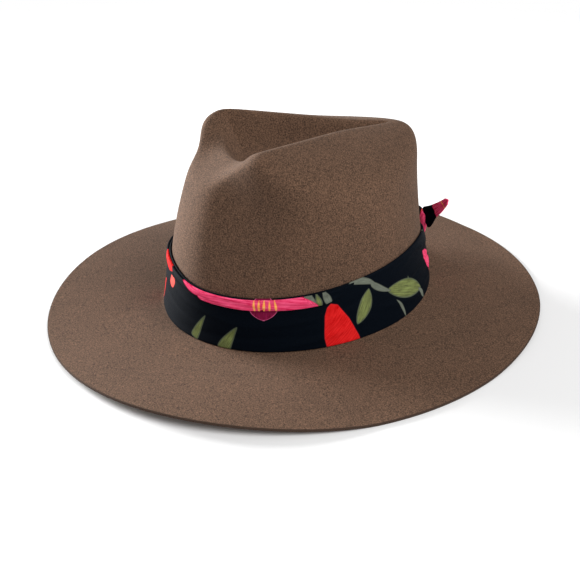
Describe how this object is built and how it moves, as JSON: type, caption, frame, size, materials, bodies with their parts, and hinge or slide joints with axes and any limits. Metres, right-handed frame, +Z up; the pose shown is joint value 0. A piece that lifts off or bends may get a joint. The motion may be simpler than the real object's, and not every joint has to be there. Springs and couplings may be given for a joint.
{
  "type": "wool felt hat",
  "caption": "Wide-brimmed wool felt hat with a creased, pinched teardrop crown and a folded floral scarf knotted round it.",
  "frame": {"origin": "on the surface the hat rests on, under the middle of the brim", "axes": "+Z up through the crown, -Y towards the front of the hat, +X towards the wearer's left"},
  "size_m": [0.348, 0.3804, 0.1365],
  "materials": {
    "wool_felt": "matte brown wool felt",
    "scarf_cloth": "black woven scarf with a floral print",
    "scarf_fold_cloth": "black woven scarf with pink petals",
    "scarf_knot_cloth": "pink and black printed cloth",
    "scarf_tail_cloth": "black printed cloth with a salmon tip"
  },
  "bodies": {
    "root": {"felt_body": "wool_felt", "scarf_band": "scarf_cloth", "scarf_fold": "scarf_fold_cloth", "scarf_knot": "scarf_knot_cloth", "scarf_tail_left": "scarf_tail_cloth", "scarf_tail_right": "scarf_tail_cloth"}
  },
  "joints": []
}
